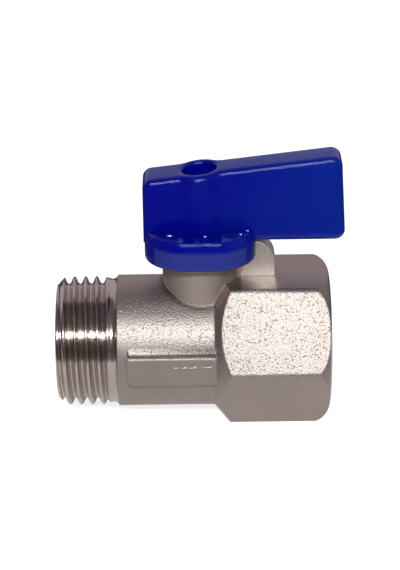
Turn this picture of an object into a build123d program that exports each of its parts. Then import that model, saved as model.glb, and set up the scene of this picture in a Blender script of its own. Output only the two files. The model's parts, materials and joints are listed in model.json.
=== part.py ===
from build123d import *
import os
from math import radians, sqrt, tan

# A small ball valve: male pipe thread on the left, female hexagon on the right, lever on top.
# X runs along the pipe from the male to the female end and Z points up the stem.
# The origin is on the pipe axis, at the inner end of the male thread. Sizes are in millimetres.

# Pipe threads, G 1/2: crest and root cylinders
thread_major = 20.955
thread_minor = 18.631
male_thread_length = 8.5
male_lead_in = 1.25
female_lead_in = 1.2

# Forged body, outside
relief_width = 1.35
relief_radius = 0.9
relief_edge_diameter = 20.4
barrel_diameter = 21.4
stem_from_shoulder = 13.45
hex_from_stem = 2.1
mouth_from_stem = 20.75
hex_across_flats = 24.0
hex_edge_round = 1.0
hex_shoulder_angle = 50.0
hex_shoulder_round = 0.3
mouth_face_inset = 1.4
mouth_crown_length = 3.0
mouth_crown_radius = 3.4
pad_across = 21.9
pad_height = 5.0
pad_from_shoulder = 1.5
pad_edge_round = 0.3
neck_diameter = 12.2
neck_top = 18.2
neck_fillet = 0.6
lug_width = 3.6
lug_reach = 12.0
lug_end_round = 3.7

# Waterway and ball
ball_diameter = 16.0
ball_bore = 9.0
inlet_bore = 12.0
inlet_taper_length = 2.4
chamber_clearance = 0.3
seat_inset = 0.1
seat_bore = 9.4
seat_lip = 0.43
seat_depth = 2.7
seat_clearance = 0.1
seat_pocket_clearance = 0.05
slot_width = 3.2
slot_web = 1.1

# Retainer ring
retainer_wall = 0.75
retainer_set_back = 0.7
retainer_length = 4.4
retainer_relief = 0.2
retainer_thread_clearance = 0.05
retainer_slot_width = 2.2
retainer_slot_depth = 1.3

# Stem and its seals
stem_diameter = 7.0
stem_clearance = 0.05
tang_clearance = 0.1
tang_gap = 0.3
tang_spread = 7.6
flange_diameter = 8.8
flange_gap = 0.2
flange_thickness = 1.2
flange_clearance = 0.2
washer_thickness = 0.6
groove_depth = 0.9
groove_width = 1.3
groove_from_washer = 2.4
groove_spacing = 2.8
seal_section = 0.84
stem_shoulder = 17.2
drive_diameter = 5.8
drive_flats = 4.4
drive_clearance = 0.05

# Handle
blade_bottom = 18.55
blade_left = 9.0
blade_right_top = 22.35
blade_right_bottom = 23.1
blade_top_left = 29.15
blade_top_right = 32.8
blade_corner_round = 1.6
blade_thickness = 5.8
heel_thickness = 6.7
boss_diameter = 8.5
boss_blend = 2.5
blade_edge_round = 1.0
hub_across = 17.7
hub_corner_round = 7.0
hub_bottom = 16.2
hub_top = 20.8
hub_shoulder_drop = 1.5
hub_shoulder_run = 0.5
hub_edge_round = 0.3
skirt_bore = 13.0
stop_clearance = 0.2
socket_top = 22.0
web_thickness = 1.6
recess_clearance = 0.25
recess_rim_round = 0.4

# Handle screw, M2.5 with a pan head
screw_diameter = 2.5
screw_length = 8.0
screw_head_diameter = 5.0
screw_head_height = 2.1
screw_head_round = 0.8
screw_hole_clearance = 0.2
screw_thread_clearance = 0.05
screw_cross_width = 0.8
screw_cross_span = 2.8
screw_cross_depth = 1.1
tapped_spare_depth = 0.8

# Allowances of the modelling: cutters run past a face, joined forms sink in, picked edges lie this near
overcut = 1.0
sunk_in = 1.0
corner_margin = 0.5
near = 0.01

# Mouth face, set in from the flats
mouth_face_diameter = hex_across_flats - mouth_face_inset

# Ball and seats, measured from the ball's centre
ball_radius = ball_diameter / 2
chamber_radius = ball_radius + chamber_clearance
slot_floor = ball_bore / 2 + slot_web
seat_outside = ball_diameter - 2 * seat_inset
seat_back = sqrt(ball_radius ** 2 - (seat_bore / 2) ** 2) + seat_lip
seat_front = seat_back - seat_depth
pocket_radius = seat_outside / 2 + seat_pocket_clearance
retainer_diameter = 2 * (pocket_radius + retainer_wall)
retainer_bore_radius = retainer_diameter / 2 + retainer_thread_clearance

# Places along the pipe
male_end = -male_thread_length
shoulder = relief_width
stem_x = shoulder + stem_from_shoulder
hex_start = stem_x + hex_from_stem
mouth = stem_x + mouth_from_stem
retainer_start = stem_x + seat_front + retainer_set_back
retainer_end = retainer_start + retainer_length

# Places and radii along the stem
stem_radius = stem_diameter / 2
flange_bottom = ball_radius + flange_gap
flange_top = flange_bottom + flange_thickness
washer_top = flange_top + washer_thickness
lower_groove = washer_top + groove_from_washer
upper_groove = lower_groove + groove_spacing
flange_pocket_radius = flange_diameter / 2 + flange_clearance
recess_floor = socket_top + web_thickness
recess_radius = screw_head_diameter / 2 + recess_clearance

stem_axis = Axis((stem_x, 0, 0), (0, 0, 1))
at_stem = Pos(stem_x, 0, 0)
standing = (Align.CENTER, Align.CENTER, Align.MIN)


def turned_on_pipe(points):
    """Solid of revolution about the pipe axis, from (x, radius) points."""
    outline = Polyline(*[(x, 0, radius) for x, radius in points], close=True)
    return revolve(make_face(outline), Axis.X)


def turned_on_stem(points):
    """Solid of revolution about the stem axis, from (radius, z) points."""
    outline = Polyline(*[(stem_x + radius, 0, z) for radius, z in points], close=True)
    return revolve(make_face(outline), stem_axis)


def pipe_bore(radius, start, end):
    """Cylinder along the pipe axis."""
    return Pos(start, 0, 0) * Rot(0, 90, 0) * Cylinder(radius, end - start, align=standing)


def stem_rod(radius, bottom, top):
    """Cylinder along the stem axis."""
    return at_stem * Pos(0, 0, bottom) * Cylinder(radius, top - bottom, align=standing)


def hexagon_end():
    """Female hexagon, with rounded edges, a forged shoulder and a turned crown round its mouth."""
    flats = fillet(RegularPolygon(hex_across_flats / 2, 6, major_radius=False).vertices(), hex_edge_round)
    prism = Pos(hex_start, 0, 0) * extrude(Plane.YZ * flats, mouth - hex_start)
    corners = hex_across_flats / sqrt(3)
    outside = corners + corner_margin
    shoulder_run = (outside - barrel_diameter / 2) / tan(radians(hex_shoulder_angle))
    crown_start = (mouth - mouth_crown_length, corners)
    mouth_edge = (mouth, mouth_face_diameter / 2)
    sides = Polyline(
        mouth_edge,
        (mouth, 0),
        (hex_start, 0),
        (hex_start, barrel_diameter / 2),
        (hex_start + shoulder_run, outside),
        (mouth - mouth_crown_length, outside),
        crown_start)
    crown = RadiusArc(crown_start, mouth_edge, mouth_crown_radius)
    hexagon = prism & revolve(make_face([*sides.edges(), crown]), Axis.X)
    return fillet(hexagon.edges().filter_by(GeomType.HYPERBOLA), hex_shoulder_round)


def valve_body():
    """Forged body: spigot, barrel, side pads, neck, stop lug and hexagon, bored and threaded."""
    thread_radius = thread_major / 2
    barrel_radius = barrel_diameter / 2
    relief_start = (0, relief_edge_diameter / 2)
    relief_end = (shoulder, barrel_radius)
    barrel_end = hex_start + sunk_in
    sides = Polyline(
        relief_end,
        (barrel_end, barrel_radius),
        (barrel_end, 0),
        (male_end, 0),
        (male_end, thread_radius - male_lead_in),
        (male_end + male_lead_in, thread_radius),
        (0, thread_radius),
        relief_start)
    relief = RadiusArc(relief_start, relief_end, -relief_radius)
    barrel = revolve(make_face([*sides.edges(), relief]), Axis.X)
    pad_start = shoulder + pad_from_shoulder
    pad_length = barrel_end - pad_start
    pad = Pos(pad_start + pad_length / 2, 0, 0) * Box(pad_length, pad_across, pad_height)
    pad = fillet(pad.edges().filter_by(Axis.X), pad_edge_round)
    neck = stem_rod(neck_diameter / 2, 0, neck_top)
    lug_face = Pos(lug_reach / 2, neck_top / 2) * Rectangle(lug_reach, neck_top)
    lug_face = fillet(lug_face.vertices().group_by(Axis.Y)[-1].sort_by(Axis.X)[-1], lug_end_round)
    lug = at_stem * extrude(Plane.XZ * lug_face, lug_width / 2, both=True)
    body = barrel + pad + neck
    body = fillet([edge for edge in body.edges() if is_neck_crease(edge)], neck_fillet)
    body = body + hexagon_end() + lug

    chamber = turned_on_pipe([
        (male_end - overcut, 0),
        (male_end - overcut, inlet_bore / 2),
        (stem_x - seat_back - inlet_taper_length, inlet_bore / 2),
        (stem_x - seat_back, seat_bore / 2),
        (stem_x - seat_back, pocket_radius),
        (stem_x - seat_front, pocket_radius),
        (stem_x - seat_front, chamber_radius),
        (retainer_start, chamber_radius),
        (retainer_start, retainer_bore_radius),
        (retainer_end + retainer_relief, retainer_bore_radius),
        (retainer_end + retainer_relief, thread_minor / 2),
        (mouth - female_lead_in, thread_minor / 2),
        (mouth, thread_minor / 2 + female_lead_in),
        (mouth + overcut, thread_minor / 2 + female_lead_in),
        (mouth + overcut, 0),
    ])
    stem_bore = stem_rod(stem_radius + stem_clearance, 0, neck_top + overcut)
    flange_pocket = stem_rod(flange_pocket_radius, 0, washer_top)
    return body - chamber - stem_bore - flange_pocket


def is_neck_crease(edge):
    """True for the crease where the neck rises out of the barrel and the side pads."""
    middle = edge.position_at(0.5)
    reach = (Vector(middle.X, middle.Y) - Vector(stem_x, 0)).length
    return abs(reach - neck_diameter / 2) < near and 0 < middle.Z < neck_top - near


def ball():
    """Bored ball with the slot that the stem's tang turns."""
    solid = at_stem * Sphere(ball_radius)
    slot = at_stem * Pos(0, 0, slot_floor) * Box(slot_width, ball_diameter, ball_diameter, align=standing)
    return solid - pipe_bore(ball_bore / 2, stem_x - ball_diameter, stem_x + ball_diameter) - slot


def seat(turn):
    """Seat ring with a hollow face that fits the ball, turned about the stem to either side of it."""
    ring = Cylinder(seat_outside / 2, seat_back - seat_front, align=standing)
    ring = ring - Cylinder(seat_bore / 2, seat_back - seat_front, align=standing)
    ring = Pos(-seat_back, 0, 0) * Rot(0, 90, 0) * ring
    return at_stem * Rot(0, 0, turn) * (ring - Sphere(ball_radius + seat_clearance))


def retainer_ring():
    """Screwed ring that carries the outlet seat, with a driving slot across its outer face."""
    ring = turned_on_pipe([
        (retainer_start, pocket_radius),
        (retainer_start, retainer_diameter / 2),
        (retainer_end, retainer_diameter / 2),
        (retainer_end, seat_bore / 2),
        (stem_x + seat_back, seat_bore / 2),
        (stem_x + seat_back, pocket_radius),
    ])
    slot_span = retainer_diameter + overcut
    slot = Pos(retainer_end, 0, 0) * Box(2 * retainer_slot_depth, retainer_slot_width, slot_span)
    return ring - slot


def stem():
    """Stem with tang, flange, two seal grooves, double-D drive and a tapped top."""
    groove_floor = stem_radius - groove_depth
    outline = [(0, flange_bottom), (flange_diameter / 2, flange_bottom), (flange_diameter / 2, flange_top),
               (stem_radius, flange_top)]
    for height in (lower_groove, upper_groove):
        outline += [(stem_radius, height - groove_width / 2), (groove_floor, height - groove_width / 2),
                    (groove_floor, height + groove_width / 2), (stem_radius, height + groove_width / 2)]
    outline += [(stem_radius, stem_shoulder), (0, stem_shoulder)]
    shank = turned_on_stem(outline)
    tang_width = slot_width - 2 * tang_clearance
    tang_foot = slot_floor + tang_gap
    tang = stem_rod(tang_spread / 2, tang_foot, flange_bottom)
    tang = tang & at_stem * Box(tang_width, tang_spread, 2 * ball_diameter)
    drive = stem_rod(drive_diameter / 2, stem_shoulder, socket_top)
    drive = drive & at_stem * Box(drive_diameter, drive_flats, 2 * socket_top)
    tapped_depth = screw_length - web_thickness + tapped_spare_depth
    tapped = stem_rod(screw_diameter / 2 + screw_thread_clearance, socket_top - tapped_depth, socket_top)
    return shank + tang + drive - tapped


def stem_seal(height):
    """Rubber ring in one of the stem's grooves."""
    centre = stem_radius - groove_depth / 2
    return at_stem * Pos(0, 0, height) * Torus(centre, seal_section / 2)


def stem_thrust_washer():
    """Plastic washer between the stem's flange and the body."""
    return stem_rod(flange_diameter / 2, flange_top, washer_top) - stem_rod(
        stem_radius + flange_clearance / 2, flange_top, washer_top)


def blade():
    """Upright lever plate, thicker at its heel, with the round boss that holds the screw."""
    side = make_face(Polyline(
        (-blade_left, blade_bottom),
        (blade_right_bottom, blade_bottom),
        (blade_right_top, blade_top_right),
        (-blade_left, blade_top_left),
        close=True))
    heel_foot = side.vertices().sort_by_distance((-blade_left, blade_bottom))[0]
    side = fillet([corner for corner in side.vertices() if corner != heel_foot], blade_corner_round)
    heel = Pos(-blade_left / 2, 0) * Rectangle(blade_left, heel_thickness)
    lever = Pos(blade_right_bottom / 2, 0) * Rectangle(blade_right_bottom, blade_thickness)
    plan = heel + lever + Circle(boss_diameter / 2)
    boss_corners = [corner for corner in plan.vertices() if Vector(*corner).length < boss_diameter / 2 + near]
    plan = fillet(boss_corners, boss_blend)
    plate = extrude(plan, blade_top_right + overcut) & extrude(Plane.XZ * side, boss_diameter, both=True)
    broadside = [edge for edge in plate.edges() if abs(edge.position_at(0.5).Y) > blade_thickness / 4]
    upright = plate.edges().filter_by(Axis.Z)
    boss_seams = [edge for edge in upright if edge.position_at(0.5).X > -blade_left / 2]
    return fillet([edge for edge in broadside if edge not in boss_seams], blade_edge_round)


def handle():
    """Lever moulded in one piece: blade, boss, round hub and the skirt with its stop cut-out."""
    plan = RectangleRounded(hub_across, hub_across, hub_corner_round)
    shoulder_foot = hub_top - hub_shoulder_drop
    hub = extrude(Pos(0, 0, hub_bottom) * plan, shoulder_foot - hub_bottom)
    top_across = hub_across - 2 * hub_shoulder_run
    top_plan = RectangleRounded(top_across, top_across, hub_corner_round - hub_shoulder_run)
    hub = hub + loft([Pos(0, 0, shoulder_foot) * plan, Pos(0, 0, hub_top) * top_plan])
    rims = [edge for edge in hub.edges() if is_level(edge) and edge.position_at(0).Z > hub_bottom + near]
    hub = fillet(rims, hub_edge_round)
    lever = blade() + hub
    skirt = Pos(0, 0, hub_bottom) * Cylinder(skirt_bore / 2, blade_bottom - hub_bottom, align=standing)
    stop = lug_width / 2 + stop_clearance
    cut_out = Pos(-stop, -stop, hub_bottom) * Box(
        hub_across, hub_across, blade_bottom - hub_bottom, align=(Align.MIN, Align.MIN, Align.MIN))
    socket = Cylinder(drive_diameter / 2 + drive_clearance, socket_top, align=standing)
    socket = socket & Box(drive_diameter + overcut, drive_flats + 2 * drive_clearance, 2 * socket_top)
    screw_hole = Cylinder(screw_diameter / 2 + screw_hole_clearance, recess_floor, align=standing)
    recess = Pos(0, 0, recess_floor) * Cylinder(recess_radius, blade_top_right, align=standing)
    lever = lever - recess
    mouth_rim = [edge for edge in lever.edges() if is_recess_rim(edge)]
    lever = fillet(mouth_rim, recess_rim_round)
    return at_stem * (lever - skirt - cut_out - socket - screw_hole)


def is_level(edge):
    """True for an edge that lies in one level plane."""
    return edge.bounding_box().size.Z < near


def is_recess_rim(edge):
    """True for the rim of the screw hole in the handle's top."""
    points = [edge.position_at(0.25), edge.position_at(0.75)]
    on_wall = all(abs(Vector(point.X, point.Y).length - recess_radius) < near for point in points)
    return on_wall and all(point.Z > recess_floor + near for point in points)


def handle_screw():
    """Pan-head screw with a cross recess."""
    head = Pos(0, 0, recess_floor) * Cylinder(screw_head_diameter / 2, screw_head_height, align=standing)
    head = fillet(head.edges().group_by(Axis.Z)[-1], screw_head_round)
    shank = Cylinder(screw_diameter / 2, screw_length, align=standing)
    shank = Pos(0, 0, recess_floor - screw_length) * shank
    slot = Box(screw_cross_span, screw_cross_width, 2 * screw_cross_depth)
    slot = Pos(0, 0, recess_floor + screw_head_height) * slot
    return at_stem * (head + shank - slot - Rot(0, 0, 90) * slot)


pieces = {
    "valve_body": valve_body(),
    "ball": ball(),
    "inlet_seat": seat(0),
    "outlet_seat": seat(180),
    "retainer_ring": retainer_ring(),
    "stem": stem(),
    "lower_stem_seal": stem_seal(lower_groove),
    "upper_stem_seal": stem_seal(upper_groove),
    "stem_thrust_washer": stem_thrust_washer(),
    "handle": handle(),
    "handle_screw": handle_screw(),
}
os.makedirs("parts", exist_ok=True)
for node, solid in pieces.items():
    export_step(solid, f"parts/{node}.step")
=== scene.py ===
import json
from math import atan2, ceil, copysign, cos, pi, radians, sin

import bmesh
import bpy
from mathutils import Matrix, Vector


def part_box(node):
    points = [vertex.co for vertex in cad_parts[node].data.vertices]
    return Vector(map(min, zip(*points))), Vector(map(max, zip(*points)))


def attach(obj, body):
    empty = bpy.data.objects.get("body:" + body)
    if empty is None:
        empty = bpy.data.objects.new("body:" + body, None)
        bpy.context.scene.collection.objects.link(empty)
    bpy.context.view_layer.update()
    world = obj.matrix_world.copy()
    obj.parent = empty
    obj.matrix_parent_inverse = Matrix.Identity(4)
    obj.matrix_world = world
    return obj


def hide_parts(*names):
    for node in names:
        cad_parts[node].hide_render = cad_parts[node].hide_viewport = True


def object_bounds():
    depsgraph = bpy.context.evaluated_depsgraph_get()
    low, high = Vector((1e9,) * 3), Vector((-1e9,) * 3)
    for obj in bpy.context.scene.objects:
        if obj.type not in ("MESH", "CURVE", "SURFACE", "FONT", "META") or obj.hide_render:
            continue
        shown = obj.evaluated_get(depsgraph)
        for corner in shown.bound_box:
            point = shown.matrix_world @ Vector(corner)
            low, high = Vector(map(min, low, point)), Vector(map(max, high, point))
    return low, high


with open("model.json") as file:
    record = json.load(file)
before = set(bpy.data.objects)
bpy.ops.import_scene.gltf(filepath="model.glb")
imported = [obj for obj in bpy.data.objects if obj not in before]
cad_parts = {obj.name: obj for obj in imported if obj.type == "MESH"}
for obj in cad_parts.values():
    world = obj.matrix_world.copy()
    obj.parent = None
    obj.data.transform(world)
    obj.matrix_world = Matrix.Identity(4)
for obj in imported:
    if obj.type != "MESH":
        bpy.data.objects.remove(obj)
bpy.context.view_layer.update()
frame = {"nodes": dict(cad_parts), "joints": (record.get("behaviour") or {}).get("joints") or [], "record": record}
mm = 0.001
stemX = frame["joints"][0]["pos_m"][0]
mounts = {mount["name"]: mount for mount in frame["record"]["mounts"]}
weldReach = 0.0005 * mm  # vertices closer than this are one


class Wire:
    # a node's output socket that can be used in sums
    def __init__(self, graph, socket):
        self.graph = graph
        self.socket = socket

    def __add__(self, other):
        return self.graph.math("ADD", self, other)

    def __radd__(self, other):
        return self.graph.math("ADD", other, self)

    def __sub__(self, other):
        return self.graph.math("SUBTRACT", self, other)

    def __rsub__(self, other):
        return self.graph.math("SUBTRACT", other, self)

    def __mul__(self, other):
        return self.graph.math("MULTIPLY", self, other)

    def __rmul__(self, other):
        return self.graph.math("MULTIPLY", other, self)

    def __truediv__(self, other):
        return self.graph.math("DIVIDE", self, other)

    def absolute(self):
        return self.graph.math("ABSOLUTE", self)

    def clamped(self):
        return self.graph.math("MINIMUM", self.graph.math("MAXIMUM", self, 0.0), 1.0)

    def eased(self):
        return self * self * (3.0 - 2.0 * self)

    # masks that go from 0 to 1: past a start, up to an end, and on both sides of a middle
    def above(self, start, fade):
        return ((self - start) / fade).clamped()

    def below(self, end, fade):
        return ((end - self) / fade).clamped()

    def around(self, middle, half):
        return (1.0 - (self - middle).absolute() / half).clamped()


class Graph:
    # adds nodes to a tree: type, settings first, then the values or links of its inputs
    def __init__(self, tree):
        self.tree = tree

    def node(self, kind, settings=None, inputs=None):
        made = self.tree.nodes.new(kind)
        for name, value in (settings or {}).items():
            setattr(made, name, value)
        for name, value in (inputs or {}).items():
            if isinstance(value, Wire):
                self.tree.links.new(value.socket, made.inputs[name])
            else:
                made.inputs[name].default_value = value
        return made

    def out(self, kind, settings=None, inputs=None, output=0):
        return Wire(self, self.node(kind, settings, inputs).outputs[output])

    def math(self, operation, first, second=0.0):
        return self.out("ShaderNodeMath", {"operation": operation}, {0: first, 1: second})

    def distance(self, first, second):
        return self.math("SQRT", first * first + second * second)

    def mixColour(self, factor, first, second):
        inputs = {0: factor, 6: first, 7: second}
        return self.out("ShaderNodeMix", {"data_type": "RGBA"}, inputs, 2)

    def mixVector(self, factor, first, second):
        inputs = {0: factor, 4: first, 5: second}
        return self.out("ShaderNodeMix", {"data_type": "VECTOR"}, inputs, 1)

    def objectPlace(self):
        return self.out("ShaderNodeTexCoord", output="Object")

    def split(self, vector):
        parts = self.node("ShaderNodeSeparateXYZ", inputs={0: vector})
        return [Wire(self, parts.outputs[axis]) for axis in range(3)]

    def noise(self, place, perMm, detail=2.0, roughness=0.5):
        inputs = {"Vector": place, "Scale": perMm / mm, "Detail": detail, "Roughness": roughness}
        return self.out("ShaderNodeTexNoise", inputs=inputs)

    def softEdges(self, radius, samples=4):
        return self.out("ShaderNodeBevel", {"samples": samples}, {"Radius": radius})

    def bump(self, height, depth, strength=1.0, **normal):
        inputs = {"Strength": strength, "Distance": depth, "Height": height, **normal}
        return self.out("ShaderNodeBump", inputs=inputs)


def newMaterial(name, **fixed):
    material = bpy.data.materials.new(name)
    material.use_nodes = True
    graph = Graph(material.node_tree)
    shader = material.node_tree.nodes["Principled BSDF"]
    for socket, value in fixed.items():
        shader.inputs[socket.replace("_", " ")].default_value = value
    return material, graph, shader


def feed(graph, shader, **wires):
    for socket, wire in wires.items():
        graph.tree.links.new(wire.socket, shader.inputs[socket.replace("_", " ")])


def between(low, high, share):
    return low + (high - low) * share


# how far a finish is towards its bright colour and its high roughness, from a fine and a broad pattern
def toneOf(p, fine, broad):
    return (fine * p["fineTone"] + broad * p["broadTone"] - p["toneDrop"]).clamped()


def roughOf(p, fine, broad):
    return between(p["roughLow"], p["roughHigh"], fine * p["fineRough"] + broad * (1.0 - p["fineRough"]))


# marks that the dies leave at the side pads, as bumps: a swell above the ledge on the barrel, rounded pad tops, a
# broken flash line; and painted shade, a dark line in the crease along the ledge
dieMarksAndLedgeShade = dict(side=10.0 * mm, sideFade=0.2 * mm, padStart=2.9 * mm, padEnd=17.3 * mm, endFade=0.3 * mm,
                padSide=10.8 * mm, padFade=0.1 * mm, padTop=2.2 * mm, padRound=0.8 * mm, padFall=4.6,
                ledge=2.36 * mm, ledgeHalf=0.32 * mm, ledgeShade=0.95, sweep=1.5 * mm, sweepHeight=4.6,
                flash=0.25 * mm, flashHalf=0.3 * mm, flashStart=9.0 * mm, flashFade=4.0 * mm, flashHeight=5.0,
                flashAwry=0.3 * mm, breakSlope=4.0, breakFrom=1.4, wanderPerMm=0.5)


def padMarksAndShade(graph, place, along, across, rise):
    p = dieMarksAndLedgeShade
    wander = graph.noise(place, p["wanderPerMm"])
    outward = across.absolute()
    onPad = along.above(p["padStart"], p["endFade"]) * along.below(p["padEnd"], p["endFade"])
    onSide = outward.above(p["side"], p["sideFade"]) * onPad
    onBarrel = outward.below(p["padSide"], p["padFade"]) * onSide
    onPadFace = outward.above(p["padSide"], p["padFade"]) * onPad
    # painted shade: a dark line in the crease along the ledge above each pad
    ledge = rise.around(p["ledge"], p["ledgeHalf"]) * onBarrel
    swept = rise.below(p["ledge"] + p["sweep"], p["sweep"]) * onBarrel
    rounded = rise.above(p["padTop"] - p["padRound"], p["padRound"]) * onPadFace
    awry = (wander - 0.5) * p["flashAwry"]
    flash = (rise + awry).around(p["flash"], p["flashHalf"]) * onSide
    flash = flash * along.above(p["flashStart"], p["flashFade"])
    flash = flash * (wander * p["breakSlope"] - p["breakFrom"]).clamped()
    height = flash * p["flashHeight"] + swept * swept * p["sweepHeight"] - rounded * rounded * p["padFall"]
    return ledge * p["ledgeShade"], height


# painted shade in the crease round the foot of the neck, which fades out towards the lug
neckFootShade = dict(inner=6.15 * mm, outer=7.0 * mm, foot=6.0 * mm, footFade=1.0 * mm, lugFade=5.0 * mm,
                  dark=0.9)


def shadeAtNeckFoot(graph, aside, across, rise):
    p = neckFootShade
    fromStem = graph.distance(aside, across)
    # painted shade: darker round the foot of the neck
    crease = fromStem.below(p["outer"], p["outer"] - p["inner"]) * rise.above(p["foot"], p["footFade"])
    return crease * aside.below(p["lugFade"], p["lugFade"]) * p["dark"]


# painted light: the stop lug painted paler as if lit, and a painted reflection of the lug on the body beside the
# lug's foot
lugPaintedLight = dict(bright=(0.83, 0.69, 0.64, 1), dull=(0.46, 0.375, 0.345, 1), start=6.4 * mm,
                startFade=0.2 * mm, foot=12.15 * mm, footFade=0.1 * mm, end=12.2 * mm, endFade=0.3 * mm,
                side=1.8 * mm, sideFade=0.1 * mm, patchFoot=11.5 * mm, patchFade=0.3 * mm, patchShare=0.8)


# mask of the painted light: the lug face, and its painted reflection beside the lug's foot
def lugLightMask(aside, across, rise):
    p = lugPaintedLight
    pastNeck = aside.above(p["start"], p["startFade"])
    lug = pastNeck * rise.above(p["foot"], p["footFade"])
    beside = across.absolute().above(p["side"], p["sideFade"]) * aside.below(p["end"], p["endFade"])
    paintedReflection = pastNeck * beside * rise.above(p["patchFoot"], p["patchFade"])
    return (lug + paintedReflection * p["patchShare"]).clamped()


# nickel plate over the shot-blasted forging, with small dark pits; it also carries painted shade in creases and
# painted light on the stop lug
blastedPlate = dict(bright=(0.49, 0.374, 0.357, 1), dull=(0.34, 0.256, 0.242, 1), pit=(0.18, 0.14, 0.126, 1),
                    creaseShade=(0.05, 0.04, 0.036, 1), fineTone=0.8, broadTone=0.5, toneDrop=0.15, fineRough=0.7,
                    grainPerMm=3.2, grainDetail=1.5, grainRoughness=0.65, broadPerMm=0.12, pitPerMm=2.6,
                    pitBelow=0.42, pitSlope=7.0, pitTint=0.22, pitDepth=0.5, roughLow=0.43, roughHigh=0.53,
                    depth=0.06 * mm, edgeRound=0.3 * mm)


def blastedNickel():
    p = blastedPlate
    material, graph, shader = newMaterial("blastedNickel", Metallic=1.0)
    place = graph.objectPlace()
    along, across, rise = graph.split(place)
    aside = along - stemX
    grain = graph.noise(place, p["grainPerMm"], p["grainDetail"], p["grainRoughness"])
    broad = graph.noise(place, p["broadPerMm"])
    pitted = ((p["pitBelow"] - graph.noise(place, p["pitPerMm"])) * p["pitSlope"]).clamped()
    tone = toneOf(p, grain, broad)
    forged = graph.mixColour(tone, p["dull"], p["bright"])
    # painted light: the lug and the patch beside its foot take paler colours
    lug = graph.mixColour(tone, lugPaintedLight["dull"], lugPaintedLight["bright"])
    forgedAndLugLight = graph.mixColour(lugLightMask(aside, across, rise), forged, lug)
    marked = graph.mixColour(pitted * p["pitTint"], forgedAndLugLight, p["pit"])
    ledge, markHeight = padMarksAndShade(graph, place, along, across, rise)
    # painted shade at the pad ledges and round the neck's foot
    paintedShadeMask = (ledge + shadeAtNeckFoot(graph, aside, across, rise)).clamped()
    colour = graph.mixColour(paintedShadeMask, marked, p["creaseShade"])
    height = grain - pitted * p["pitDepth"] + markHeight
    normal = graph.bump(height, p["depth"], Normal=graph.softEdges(p["edgeRound"]))
    feed(graph, shader, Base_Color=colour, Roughness=roughOf(p, grain, broad), Normal=normal)
    return material


# the same plate on turned faces: bright on the threads and bores, satin on the neck
turnedPattern = dict(fineTone=0.4, broadTone=0.8, toneDrop=0.1, fineRough=0.6, broadPerMm=0.25,
                     broadDetail=3.0)
turnedPlates = {
    "turnedNickel": dict(bright=(0.62, 0.51, 0.48, 1), dull=(0.46, 0.375, 0.355, 1), ringPerMm=5.0,
                         stretch=(1.0, 0.08, 0.08), roughLow=0.13, roughHigh=0.21, depth=0.004 * mm,
                         edgeRound=0.12 * mm),
    "satinNickel": dict(bright=(0.63, 0.475, 0.435, 1), dull=(0.4, 0.3, 0.27, 1), ringPerMm=3.0,
                        stretch=(0.1, 0.1, 1.0), roughLow=0.6, roughHigh=0.72, depth=0.006 * mm,
                        edgeRound=0.25 * mm),
}


def turnedNickel(name):
    p = dict(turnedPattern, **turnedPlates[name])
    material, graph, shader = newMaterial(name, Metallic=1.0)
    place = graph.objectPlace()
    stretched = graph.out("ShaderNodeMapping", inputs={"Vector": place, "Scale": p["stretch"]})
    rings = graph.noise(stretched, p["ringPerMm"])
    broad = graph.noise(place, p["broadPerMm"], p["broadDetail"])
    colour = graph.mixColour(toneOf(p, rings, broad), p["dull"], p["bright"])
    normal = graph.bump(rings, p["depth"], Normal=graph.softEdges(p["edgeRound"]))
    feed(graph, shader, Base_Color=colour, Roughness=roughOf(p, rings, broad), Normal=normal)
    return material


# drops of the finish on the hub's top, which catch the light: along from the stem, out from the middle and
# radius, in mm
hubDrops = dict(foot=20.3 * mm, footFade=0.2 * mm, tilt=31.0, fullness=1.6,
                places=((-4.76, 5.2, 0.75), (0.76, 5.7, 0.5), (6.4, 4.9, 0.45), (7.5, 3.6, 0.4)))


def dropsOnHub(graph, aside, across, rise):
    p = hubDrops
    asideMm = aside / mm
    outwardMm = across.absolute() / mm
    onDrop = 0.0
    for along, outward, radius in p["places"]:
        away = graph.distance(asideMm - along, outwardMm - outward)
        onDrop = graph.math("MAXIMUM", away.below(radius, radius / p["fullness"]), onDrop)
    onDrop = onDrop * rise.above(p["foot"], p["footFade"])
    tilt = radians(p["tilt"])
    front = graph.math("SIGN", across) * cos(tilt)
    facing = graph.out("ShaderNodeCombineXYZ", inputs={1: front, 2: sin(tilt)})
    turning = {"vector_type": "NORMAL", "convert_from": "OBJECT", "convert_to": "WORLD"}
    return onDrop, graph.out("ShaderNodeVectorTransform", turning, {0: facing})


# sharp crease between the hub's top and the blade, where the edges aren't softened
leverCrease = dict(height=20.9 * mm, half=0.9 * mm, halfFade=0.1125 * mm, across=5.2 * mm,
                   acrossFade=0.65 * mm)


def creaseAtBlade(across, rise):
    p = leverCrease
    atHeight = (rise - p["height"]).absolute().below(p["half"], p["halfFade"])
    return atHeight * across.absolute().below(p["across"], p["acrossFade"])


# glossy blue lever, lighter towards the blade's tip, and with a painted reflection that makes the front of the
# hub's side paler
blueFinish = dict(deep=(0.0003, 0.0021, 0.216, 1), light=(0.001, 0.0135, 0.232, 1),
                  hub=(0.027, 0.033, 0.228, 1), sheen=0.28, roughLow=0.07, roughHigh=0.13, fineRough=0.4,
                  flowPerMm=0.15, finePerMm=4.0, flowTone=0.8, tipTone=0.9, toneDrop=0.35,
                  bladeReach=23.0 * mm, hubTop=19.5 * mm, hubFade=0.6 * mm, hubFront=7.5 * mm,
                  frontFade=0.5 * mm, hubTint=0.7, hubFlow=0.6, peelPerMm=0.8, peelStrength=0.7,
                  depth=0.03 * mm, edgeRound=0.75 * mm, edgeSamples=6)


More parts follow.
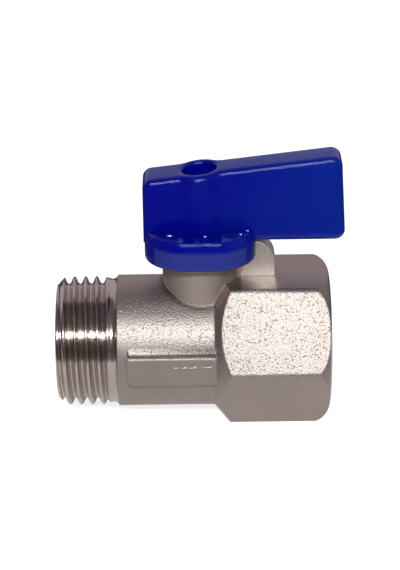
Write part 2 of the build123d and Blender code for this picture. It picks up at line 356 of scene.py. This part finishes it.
def glossBlue():
    p = blueFinish
    material, graph, shader = newMaterial("glossBlue", Specular_IOR_Level=p["sheen"])
    place = graph.objectPlace()
    along, across, rise = graph.split(place)
    aside = along - stemX
    peel = graph.noise(place, p["peelPerMm"])
    flow = graph.noise(place, p["flowPerMm"])
    fine = graph.noise(place, p["finePerMm"])
    tone = (flow * p["flowTone"] + aside / p["bladeReach"] * p["tipTone"] - p["toneDrop"]).clamped()
    blade = graph.mixColour(tone, p["deep"], p["light"])
    # painted reflection: the front of the hub's side is painted paler
    onHubReflection = rise.below(p["hubTop"], p["hubFade"]) * aside.absolute().below(p["hubFront"], p["frontFade"])
    colour = graph.mixColour(onHubReflection * (p["hubTint"] + flow * p["hubFlow"]).clamped(), blade, p["hub"])
    soft = graph.softEdges(p["edgeRound"], p["edgeSamples"])
    plain = graph.out("ShaderNodeNewGeometry", output="Normal")
    onDrop, dropFacing = dropsOnHub(graph, aside, across, rise)
    facing = graph.mixVector(creaseAtBlade(across, rise), soft, plain)
    facing = graph.mixVector(onDrop, facing, dropFacing)
    normal = graph.bump(peel, p["depth"], p["peelStrength"], Normal=facing)
    feed(graph, shader, Base_Color=colour, Roughness=roughOf(p, fine, flow), Normal=normal)
    return material


# pieces inside the valve
innerPattern = dict(fineTone=0.5, broadTone=0.8, toneDrop=0.15, fineRough=0.6, fineDetail=3.0, broadPerMm=0.3,
                    strength=0.8)
innerFinishes = {
    "turnedBrass": dict(dull=(0.42, 0.27, 0.09, 1), bright=(0.62, 0.43, 0.17, 1), metal=1.0, roughLow=0.22,
                        roughHigh=0.36, finePerMm=3.0, depth=0.006 * mm),
    "polishedChrome": dict(dull=(0.5, 0.5, 0.52, 1), bright=(0.62, 0.62, 0.64, 1), metal=1.0, roughLow=0.05,
                           roughHigh=0.12, finePerMm=1.5, depth=0.001 * mm),
    "waxyWhitePlastic": dict(dull=(0.72, 0.71, 0.67, 1), bright=(0.84, 0.83, 0.8, 1), metal=0.0,
                             roughLow=0.38, roughHigh=0.52, finePerMm=2.0, depth=0.006 * mm),
    "sealRubber": dict(dull=(0.008, 0.008, 0.008, 1), bright=(0.02, 0.02, 0.021, 1), metal=0.0, roughLow=0.45,
                       roughHigh=0.62, finePerMm=5.0, depth=0.006 * mm),
    "zincSteel": dict(dull=(0.4, 0.4, 0.39, 1), bright=(0.56, 0.56, 0.55, 1), metal=1.0, roughLow=0.22,
                      roughHigh=0.38, finePerMm=4.0, depth=0.006 * mm),
}


def innerMaterial(name):
    p = dict(innerPattern, **innerFinishes[name])
    material, graph, shader = newMaterial(name, Metallic=p["metal"])
    place = graph.objectPlace()
    grain = graph.noise(place, p["finePerMm"], p["fineDetail"])
    broad = graph.noise(place, p["broadPerMm"])
    colour = graph.mixColour(toneOf(p, grain, broad), p["dull"], p["bright"])
    normal = graph.bump(grain, p["depth"], p["strength"])
    feed(graph, shader, Base_Color=colour, Roughness=roughOf(p, grain, broad), Normal=normal)
    return material


# half-inch pipe thread; flat is the share of the flank that is level at the root and at the crest
pipeThread = dict(pitch=1.814 * mm, major=20.955 / 2 * mm, minor=18.631 / 2 * mm, flat=0.06)
maleThread = dict(turn=0.36, leadSlope=1.0, startRunout=0.001 * mm, endRunout=1.0 * mm, rowsPerTurn=26,
                  columns=145)
femaleThread = dict(turn=0.3, leadSlope=1000.0, startRunout=0.9 * mm, endRunout=0.9 * mm, rowsPerTurn=22,
                    columns=121)  # a slope as steep as this is no lead-in


# a thread is one sheet wound round the X axis: each row of the grid follows the helix
def threadTree(material):
    tree = bpy.data.node_groups.new("pipeThread", "GeometryNodeTree")
    names = ["start", "end", "startRadius", "endRadius", "root", "crest", "pitch", "turn", "leadSlope",
             "startRunout", "endRunout", "rowStep"]
    for name in names:
        tree.interface.new_socket(name, in_out="INPUT", socket_type="NodeSocketFloat")
    for name in ("rows", "columns"):
        tree.interface.new_socket(name, in_out="INPUT", socket_type="NodeSocketInt")
    tree.interface.new_socket("Geometry", in_out="OUTPUT", socket_type="NodeSocketGeometry")
    graph = Graph(tree)
    given = graph.node("NodeGroupInput")
    size = {name: Wire(graph, given.outputs[name]) for name in names + ["rows", "columns"]}
    grid = graph.out("GeometryNodeMeshGrid", inputs={"Size X": 1.0, "Size Y": 1.0, "Vertices X": size["rows"],
                                                     "Vertices Y": size["columns"]})
    gridX, gridY, _ = graph.split(graph.out("GeometryNodeInputPosition"))
    along = gridX + 0.5  # the grid is centred, so these go from 0 to 1
    around = gridY + 0.5
    row = graph.math("ROUND", along * (size["rows"] - 1.0))
    raw = size["start"] + row * size["rowStep"] + (around - 1.0) * size["pitch"]
    place = graph.math("MINIMUM", graph.math("MAXIMUM", raw, size["start"]), size["end"])
    wholeTurns = 40.0  # keeps the sum positive
    phase = graph.math("FRACT", place / size["pitch"] - around + size["turn"] + wholeTurns)
    flank = (phase * 2.0 - 1.0).absolute()
    flat = pipeThread["flat"]
    height = flank.above(flat, 1.0 - 2.0 * flat).eased()
    form = between(size["root"], size["crest"], height)
    fromStart = place - size["start"]
    toEnd = size["end"] - place
    startFade = (1.0 - fromStart / size["startRunout"]).clamped().eased()
    endFade = (1.0 - toEnd / size["endRunout"]).clamped().eased()
    form = between(form, size["startRadius"], startFade)
    form = between(form, size["endRadius"], endFade)
    radius = graph.math("MINIMUM", form, size["startRadius"] + fromStart * size["leadSlope"])
    angle = around * (2 * pi)
    wound = graph.out("ShaderNodeCombineXYZ", inputs={0: place, 1: radius * graph.math("COSINE", angle),
                                                      2: radius * graph.math("SINE", angle)})
    bent = graph.out("GeometryNodeSetPosition", inputs={"Geometry": grid, "Position": wound})
    welded = graph.out("GeometryNodeMergeByDistance", inputs={"Geometry": bent, "Distance": weldReach})
    real = graph.out("GeometryNodeRealizeInstances", inputs={"Geometry": welded})
    painted = graph.out("GeometryNodeSetMaterial", inputs={"Geometry": real, "Material": material})
    graph.node("NodeGroupOutput", inputs={"Geometry": painted})
    return tree


def threadMesh(tree, sizes):
    holder = bpy.data.objects.new("threadHolder", bpy.data.meshes.new("threadHolder"))
    bpy.context.scene.collection.objects.link(holder)
    modifier = holder.modifiers.new("thread", "NODES")
    modifier.node_group = tree
    for item in tree.interface.items_tree:
        if item.in_out == "INPUT":
            modifier[item.identifier] = sizes[item.name]
    mesh = bpy.data.meshes.new_from_object(holder.evaluated_get(bpy.context.evaluated_depsgraph_get()))
    bpy.data.objects.remove(holder)
    return mesh


def threadSizes(thread, start, end, startRadius, endRadius):
    step = pipeThread["pitch"] / thread["rowsPerTurn"]
    rows = ceil((end - start) / step) + thread["rowsPerTurn"] + 1
    return dict(thread, start=start, end=end, startRadius=startRadius, endRadius=endRadius, rowStep=step,
                rows=rows, root=pipeThread["minor"], crest=pipeThread["major"], pitch=pipeThread["pitch"])


def radiusOf(point):
    return Vector((0.0, point.y, point.z)).length


def angleOf(vert):
    return atan2(vert.co.z, vert.co.y)


# rings of open edges, and what joins two of them
def ringsOf(mesh):
    loose = {edge for edge in mesh.edges if edge.is_boundary}
    rings = []
    while loose:
        ring = [loose.pop()]
        reach = set(ring[0].verts)
        grown = True
        while grown:
            joined = {edge for edge in loose if edge.verts[0] in reach or edge.verts[1] in reach}
            loose -= joined
            ring.extend(joined)
            reach |= {vert for edge in joined for vert in edge.verts}
            grown = bool(joined)
        rings.append(ring)
    return rings


def ringPlace(ring):
    return sum(edge.verts[0].co.x for edge in ring) / len(ring)


def ringRadius(ring):
    return sum(radiusOf(edge.verts[0].co) for edge in ring) / len(ring)


def inTurn(ring):
    return sorted({vert for edge in ring for vert in edge.verts}, key=angleOf)


def zipRings(mesh, firstRing, secondRing):
    # triangles from one ring to the other, always onwards to the vertex that comes next round the axis
    rings = [inTurn(firstRing), inTurn(secondRing)]
    angles = [[angleOf(vert) for vert in ring] for ring in rings]
    for ring, turn in zip(rings, angles):
        ring.append(ring[0])
        turn.append(turn[0] + 2 * pi)
    first, second = rings
    i = j = 0
    while i < len(first) - 1 or j < len(second) - 1:
        firstIsNext = i < len(first) - 1 and (j == len(second) - 1 or angles[0][i + 1] <= angles[1][j + 1])
        if firstIsNext:
            mesh.faces.new((first[i], first[i + 1], second[j]))
            i += 1
        else:
            mesh.faces.new((first[i], second[j + 1], second[j]))
            j += 1


def sewThread(mesh, tree, sizes):
    before = ringsOf(mesh)
    mesh.from_mesh(threadMesh(tree, sizes))
    new = [ring for ring in ringsOf(mesh) if not any(ring[0] in old for old in before)]
    for ring in new:
        mate = min(before, key=lambda old: abs(ringPlace(old) - ringPlace(ring)))
        zipRings(mesh, ring, mate)


# the plain thread cylinders of the CAD mesh, which are swapped for wound threads
plainThreads = dict(spigotCore=9.2 * mm, slack=0.004 * mm, seam=0.012 * mm)


def swapThreads(mesh, maleEnd, tree):
    p = plainThreads
    slack = p["slack"]
    collarStart = mounts["male_thread"]["pos_m"][0]

    def onMaleThread(face):
        points = [vert.co for vert in face.verts]
        outside = all(radiusOf(point) > p["spigotCore"] and point.x < collarStart + slack for point in points)
        return outside and not all(abs(point.x - maleEnd) < slack for point in points)

    def onFemaleThread(face):
        points = [vert.co for vert in face.verts]
        wall = all(abs(radiusOf(point) - pipeThread["minor"]) < slack and point.x > stemX for point in points)
        return wall and max(point.x for point in points) - min(point.x for point in points) > slack

    female = [face for face in mesh.faces if onFemaleThread(face)]
    male = [face for face in mesh.faces if onMaleThread(face)]
    femalePlaces = [vert.co.x for face in female for vert in face.verts]
    bmesh.ops.delete(mesh, geom=female + male, context="FACES")
    rings = sorted(ringsOf(mesh), key=ringPlace)
    for ring in rings:
        print(f"thread cut away at {ringPlace(ring) / mm:.2f} mm, radius {ringRadius(ring) / mm:.3f} mm")
    seam = p["seam"]
    startRadius, endRadius = (ringRadius(ring) + seam for ring in rings[:2])
    sewThread(mesh, tree, threadSizes(maleThread, maleEnd, collarStart, startRadius, endRadius))
    bore = pipeThread["minor"] + seam
    sewThread(mesh, tree, threadSizes(femaleThread, min(femalePlaces), max(femalePlaces), bore, bore))


# the tops of the side pads are a little lower than in the CAD mesh
padTops = dict(side=9.8 * mm, start=2.5 * mm, end=17.6 * mm, top=2.51 * mm, lowered=0.88,
               barrelRadius=10.72 * mm)


def lowerPads(mesh):
    p = padTops
    for vert in mesh.verts:
        onPad = abs(vert.co.y) > p["side"] and 0 < vert.co.z < p["top"] and p["start"] < vert.co.x < p["end"]
        if onPad:
            radius = radiusOf(vert.co)
            vert.co.z *= p["lowered"]
            if radius < p["barrelRadius"]:  # the crease stays on the barrel
                vert.co.y = copysign((radius ** 2 - vert.co.z ** 2) ** 0.5, vert.co.y)


# which faces of the body are as forged, which are turned, and which are the satin neck
blastedZone, turnedZone, satinZone = range(3)
bodyZones = dict(smoothAngle=32.0, neckRadius=6.1 * mm, neckSlack=0.06 * mm, neckFoot=8.0 * mm,
                 collarEnd=1.36 * mm, boreRadius=10.62 * mm, boreTop=10.0 * mm, boreOutward=0.2,
                 mouthDepth=1.3 * mm, mouthFacing=0.9)


def zoneOf(face, mouth):
    p = bodyZones
    centre = face.calc_center_median()
    fromStem = Vector((centre.x - stemX, centre.y)).length
    onNeck = fromStem < p["neckRadius"] + p["neckSlack"] and centre.z > p["neckFoot"]
    outward = face.normal.dot(Vector((0, centre.y, centre.z)))
    inBore = radiusOf(centre) < p["boreRadius"] and centre.z < p["boreTop"]
    inBore = inBore and outward <= p["boreOutward"] * radiusOf(centre)
    atMouth = centre.x > mouth - p["mouthDepth"] and face.normal.x > p["mouthFacing"]
    if inBore or atMouth or centre.x < p["collarEnd"]:
        return turnedZone
    return satinZone if onNeck else blastedZone


def smoothByAngle(data, angle):
    if "custom_normal" in data.attributes:
        data.attributes.remove(data.attributes["custom_normal"])
    data.set_sharp_from_angle(angle=radians(angle))


# the body: a merged copy of the CAD mesh with wound threads
def platedBody(blasted, turned, satin):
    mesh = bmesh.new()
    mesh.from_mesh(frame["nodes"]["valve_body"].data)
    bmesh.ops.remove_doubles(mesh, verts=mesh.verts, dist=weldReach)
    lowerPads(mesh)
    low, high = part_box("valve_body")
    swapThreads(mesh, low[0], threadTree(turned))
    bmesh.ops.remove_doubles(mesh, verts=mesh.verts, dist=weldReach)
    bmesh.ops.recalc_face_normals(mesh, faces=mesh.faces)
    for face in mesh.faces:
        face.material_index = zoneOf(face, high[0])
        face.smooth = True
    data = bpy.data.meshes.new("platedBody")
    mesh.to_mesh(data)
    print("body", len(data.polygons), "faces, open edges", sum(edge.is_boundary for edge in mesh.edges))
    mesh.free()
    for material in (blasted, turned, satin):  # in the order of the zones
        data.materials.append(material)
    smoothByAngle(data, bodyZones["smoothAngle"])
    body = bpy.data.objects.new("plated_body", data)
    bpy.context.scene.collection.objects.link(body)
    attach(body, "body")
    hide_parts("valve_body")


# the lever and the inner pieces keep their CAD shape, as merged copies with smooth shading
copyShading = dict(angle=30.0)
innerPieces = {"retainer_ring": "turnedBrass", "stem": "turnedBrass", "ball": "polishedChrome",
               "inlet_seat": "waxyWhitePlastic", "outlet_seat": "waxyWhitePlastic",
               "stem_thrust_washer": "waxyWhitePlastic", "lower_stem_seal": "sealRubber",
               "upper_stem_seal": "sealRubber", "handle_screw": "zincSteel"}


def smoothCopy(nodeName, body, material):
    mesh = bmesh.new()
    mesh.from_mesh(frame["nodes"][nodeName].data)
    bmesh.ops.remove_doubles(mesh, verts=mesh.verts, dist=weldReach)
    for face in mesh.faces:
        face.smooth = True
        face.material_index = 0
    data = bpy.data.meshes.new(nodeName + "_shape")
    mesh.to_mesh(data)
    mesh.free()
    data.materials.append(material)
    smoothByAngle(data, copyShading["angle"])
    piece = bpy.data.objects.new(nodeName + "_finished", data)
    bpy.context.scene.collection.objects.link(piece)
    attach(piece, body)
    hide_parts(nodeName)


def dressPieces():
    finishes = {name: innerMaterial(name) for name in innerFinishes}
    owner = {name: body for body, names in frame["record"]["behaviour"]["bodies"].items() for name in names}
    for name, finish in innerPieces.items():
        smoothCopy(name, owner[name], finishes[finish])
    smoothCopy("handle", owner["handle"], glossBlue())


# camera fitted to the photograph: angles in degrees, picture sizes in pixels
cameraFit = dict(azimuth=-0.23, elevation=25.36, roll=-0.66, distance=0.319, pixelsPerMetre=6178.0,
                 target=(-0.09 * mm, 0.0, 9.74 * mm), pictureWidth=400, sensor=36.0, nearest=0.01)


def placeCamera():
    p = cameraFit
    azimuth, elevation, roll = (radians(p[name]) for name in ("azimuth", "elevation", "roll"))
    back = Vector((sin(azimuth) * cos(elevation), -cos(azimuth) * cos(elevation), sin(elevation)))
    right = (-back).cross(Vector((0, 0, 1))).normalized()
    up = right.cross(-back)
    turnedRight = cos(roll) * right + sin(roll) * up
    turnedUp = -sin(roll) * right + cos(roll) * up
    target = Vector((stemX, 0, 0)) + Vector(p["target"])
    camera = bpy.data.cameras.new("photoCamera")
    camera.sensor_fit = "HORIZONTAL"
    camera.sensor_width = p["sensor"]
    camera.lens = p["pixelsPerMetre"] * p["distance"] * p["sensor"] / p["pictureWidth"]
    camera.clip_start = p["nearest"]
    holder = bpy.data.objects.new("photoCamera", camera)
    turned = Matrix((turnedRight, turnedUp, back)).transposed().to_4x4()
    holder.matrix_world = Matrix.Translation(target + back * p["distance"]) @ turned
    bpy.context.scene.collection.objects.link(holder)
    bpy.context.scene.camera = holder


# floor that is white to the camera; in reflections it is pale close to the valve and dark further out
paleFloor = dict(size=3.0, rough=0.9, colour=(0.8, 0.8, 0.8, 1), cameraGlow=0.74, nearGlow=0.155,
                 farGlow=0.015, glowTint=(1, 0.9, 0.88, 1), brightReach=0.054, darkReach=0.071)
# room that is bright behind the valve, dark in front, and paler on the right and above than on the left
room = dict(dark=(0.068, 0.064, 0.068, 1), bright=(0.56, 0.545, 0.59, 1), darkUpTo=0.26, brightFrom=0.5,
            leftGlow=0.07, rightGlow=0.26, topGlow=0.13)
keyLamp = dict(watts=4.0, wide=0.5, tall=0.06, aside=0.0, elevation=37.0, away=0.65, aimHeight=8.0 * mm,
               colour=(0.82, 1.0, 0.97))


def floorMaterial():
    p = paleFloor
    material, graph, shader = newMaterial("paleFloor", Roughness=p["rough"], Emission_Strength=1.0)
    path = graph.node("ShaderNodeLightPath")
    camera, glossy, through = (Wire(graph, path.outputs[name]) for name in
                               ("Is Camera Ray", "Is Glossy Ray", "Is Transmission Ray"))
    along, across, _ = graph.split(graph.objectPlace())
    reach = graph.distance(along - stemX, across)
    near = reach.below(p["darkReach"], p["darkReach"] - p["brightReach"]).eased()
    reflected = between(p["farGlow"], p["nearGlow"], near)
    seen = graph.mixColour((camera + through).clamped() * p["cameraGlow"], (0, 0, 0, 1), (1, 1, 1, 1))
    glow = graph.mixColour(glossy * reflected, seen, p["glowTint"])
    shade = graph.mixColour(glossy * (1.0 - near), p["colour"], room["dark"])
    feed(graph, shader, Base_Color=shade, Emission_Color=glow)
    return material


def placeFloor():
    low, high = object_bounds()
    floorMesh = bpy.data.meshes.new("paleFloor")
    half = paleFloor["size"] / 2
    corners = [(x, y, low[2]) for x, y in ((-half, -half), (half, -half), (half, half), (-half, half))]
    floorMesh.from_pydata(corners, [], [(0, 1, 2, 3)])
    floorMesh.materials.append(floorMaterial())
    floor = bpy.data.objects.new("paleFloor", floorMesh)
    bpy.context.scene.collection.objects.link(floor)


def placeRoom():
    p = room
    world = bpy.data.worlds.new("studioWorld")
    world.use_nodes = True
    graph = Graph(world.node_tree)
    rightward, behind, overhead = graph.split(graph.out("ShaderNodeTexCoord", output="Generated"))
    level = behind.above(p["darkUpTo"], p["brightFrom"] - p["darkUpTo"]).eased()
    sides = rightward.clamped() * p["rightGlow"] + (0.0 - rightward).clamped() * p["leftGlow"]
    level = (level + sides + overhead.clamped() * p["topGlow"]).clamped()
    colour = graph.mixColour(level, p["dark"], p["bright"])
    feed(graph, world.node_tree.nodes["Background"], Color=colour)
    bpy.context.scene.world = world


def placeLamp():
    p = keyLamp
    aside = radians(p["aside"])
    elevation = radians(p["elevation"])
    toLamp = Vector((sin(aside) * cos(elevation), -cos(aside) * cos(elevation), sin(elevation)))
    light = bpy.data.lights.new("keyLamp", "AREA")
    light.energy = p["watts"]
    light.shape = "RECTANGLE"
    light.size = p["wide"]
    light.size_y = p["tall"]
    light.color = p["colour"]
    lamp = bpy.data.objects.new("keyLamp", light)
    lamp.location = Vector((stemX, 0.0, p["aimHeight"])) + toLamp * p["away"]
    lamp.rotation_euler = toLamp.to_track_quat("Z", "Y").to_euler()
    bpy.context.scene.collection.objects.link(lamp)


platedBody(blastedNickel(), turnedNickel("turnedNickel"), turnedNickel("satinNickel"))
print("body dressed")
dressPieces()
print("lever and inner pieces dressed")
placeCamera()
bpy.context.scene.view_settings.view_transform = "Standard"
placeFloor()
placeRoom()
placeLamp()
print("camera and studio placed")
